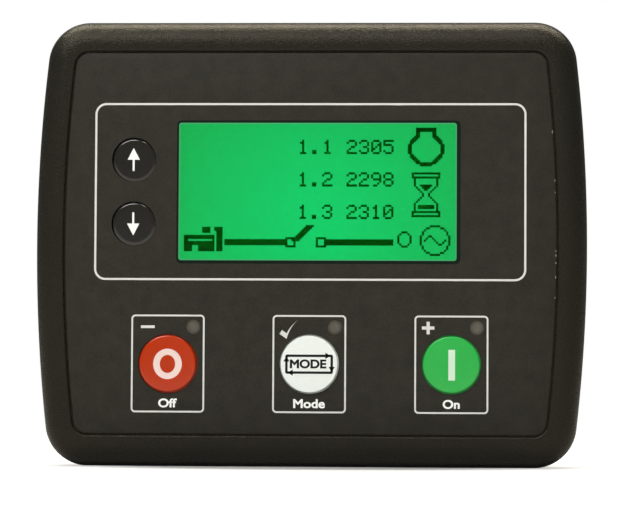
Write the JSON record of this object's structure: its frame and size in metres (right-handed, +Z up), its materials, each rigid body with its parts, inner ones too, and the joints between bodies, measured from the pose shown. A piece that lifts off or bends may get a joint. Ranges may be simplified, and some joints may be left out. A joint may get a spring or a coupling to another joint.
{
  "type": "genset controller",
  "caption": "Panel-mounted generator controller with bowed moulded bezel, backlit graphic display, round push keys, pilot lamps and plug-in screw terminals at the back.",
  "frame": {"origin": "centre of the panel cut-out, in the plane of the panel's front face, which the back of the bezel's rim meets", "axes": "+X to the right of someone who faces the display, +Y into the panel towards the terminals, +Z up"},
  "size_m": [0.14, 0.043, 0.113],
  "materials": {
    "bezel_moulding": "satin black moulding, fine spark texture",
    "housing_moulding": "matte black moulding",
    "gasket_foam": "dark grey closed-cell sealing strip",
    "label_film": "dark grey printed film, fine matte texture",
    "window_clear": "clear polished plastic",
    "display_green": "backlit green display glass",
    "light_guide": "white light guide",
    "sheet_steel": "tinned sheet steel",
    "key_dark": "satin black key",
    "key_red": "satin red key",
    "key_white": "satin white key",
    "key_green": "satin green key",
    "switch_black": "black switch and connector plastic",
    "light_pipe_smoked": "smoked clear plastic, unlit",
    "lamp_white": "white lamp package",
    "board_laminate": "green solder resist on glass laminate",
    "spacer_brass": "machined brass",
    "screw_steel": "zinc-plated steel",
    "chip_resin": "black moulding resin",
    "capacitor_sleeve": "dark blue shrink sleeve",
    "ferrite_dark": "dark ferrite",
    "transformer_case": "blue potting case",
    "terminal_green": "green terminal plastic"
  },
  "bodies": {
    "housing": {"front_bezel": "bezel_moulding", "panel_gasket": "gasket_foam", "fascia_label": "label_film", "display_window": "window_clear", "lcd_glass": "display_green", "backlight_panel": "light_guide", "lcd_frame": "sheet_steel", "switch_up": "switch_black", "switch_down": "switch_black", "switch_stop": "switch_black", "switch_auto": "switch_black", "switch_start": "switch_black", "light_pipe_stop": "light_pipe_smoked", "light_pipe_auto": "light_pipe_smoked", "light_pipe_start": "light_pipe_smoked", "led_stop": "lamp_white", "led_auto": "lamp_white", "led_start": "lamp_white", "display_board": "board_laminate", "main_board": "board_laminate", "board_spacer_1": "spacer_brass", "board_spacer_2": "spacer_brass", "board_spacer_3": "spacer_brass", "board_spacer_4": "spacer_brass", "board_screw_1": "screw_steel", "board_screw_2": "screw_steel", "board_screw_3": "screw_steel", "board_screw_4": "screw_steel", "board_link_pins": "switch_black", "board_link_socket": "switch_black", "processor_chip": "chip_resin", "supply_capacitor_1": "capacitor_sleeve", "supply_capacitor_2": "capacitor_sleeve", "supply_inductor": "ferrite_dark", "current_transformer_1": "transformer_case", "current_transformer_2": "transformer_case", "current_transformer_3": "transformer_case", "header_a": "terminal_green", "header_b": "terminal_green", "header_c": "terminal_green", "header_d": "terminal_green", "header_e": "terminal_green", "plug_a": "terminal_green", "plug_b": "terminal_green", "plug_c": "terminal_green", "plug_d": "terminal_green", "plug_e": "terminal_green", "usb_shell": "sheet_steel", "usb_insert": "switch_black", "rear_housing": "housing_moulding"},
    "key_up": {"button_up": "key_dark", "plunger_up": "switch_black"},
    "key_down": {"button_down": "key_dark", "plunger_down": "switch_black"},
    "key_stop": {"button_stop": "key_red", "plunger_stop": "switch_black"},
    "key_auto": {"button_auto": "key_white", "plunger_auto": "switch_black"},
    "key_start": {"button_start": "key_green", "plunger_start": "switch_black"}
  },
  "joints": [
    {"name": "press_up", "type": "slide", "parent": "housing", "child": "key_up", "axis": [0, 1, 0], "range_m": [0, 0.0003], "stiffness_N_per_m": 5000},
    {"name": "press_down", "type": "slide", "parent": "housing", "child": "key_down", "axis": [0, 1, 0], "range_m": [0, 0.0003], "stiffness_N_per_m": 5000},
    {"name": "press_stop", "type": "slide", "parent": "housing", "child": "key_stop", "axis": [0, 1, 0], "range_m": [0, 0.0003], "stiffness_N_per_m": 5000},
    {"name": "press_auto", "type": "slide", "parent": "housing", "child": "key_auto", "axis": [0, 1, 0], "range_m": [0, 0.0003], "stiffness_N_per_m": 5000},
    {"name": "press_start", "type": "slide", "parent": "housing", "child": "key_start", "axis": [0, 1, 0], "range_m": [0, 0.0003], "stiffness_N_per_m": 5000}
  ]
}
